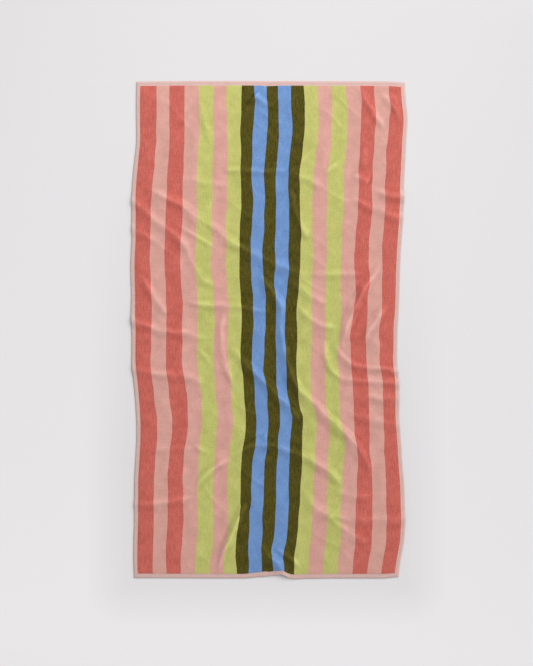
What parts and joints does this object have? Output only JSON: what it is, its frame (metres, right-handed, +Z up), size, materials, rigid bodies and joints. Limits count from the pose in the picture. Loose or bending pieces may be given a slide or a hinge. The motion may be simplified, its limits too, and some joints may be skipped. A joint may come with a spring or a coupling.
{
  "type": "bath towel",
  "caption": "Hemmed cotton terry bath towel with lengthwise cabana stripes, spread out on a flat surface and rumpled.",
  "frame": {"origin": "middle of the towel's footprint, on the surface that it lies on", "axes": "+Y along the cloth's length, away from the end whose hem is lifted by a fold; +X across it; +Z up"},
  "size_m": [0.7206, 1.294, 0.0124],
  "materials": {
    "terry": "matte cotton terry"
  },
  "bodies": {
    "root": {"towel": "terry"}
  },
  "joints": []
}
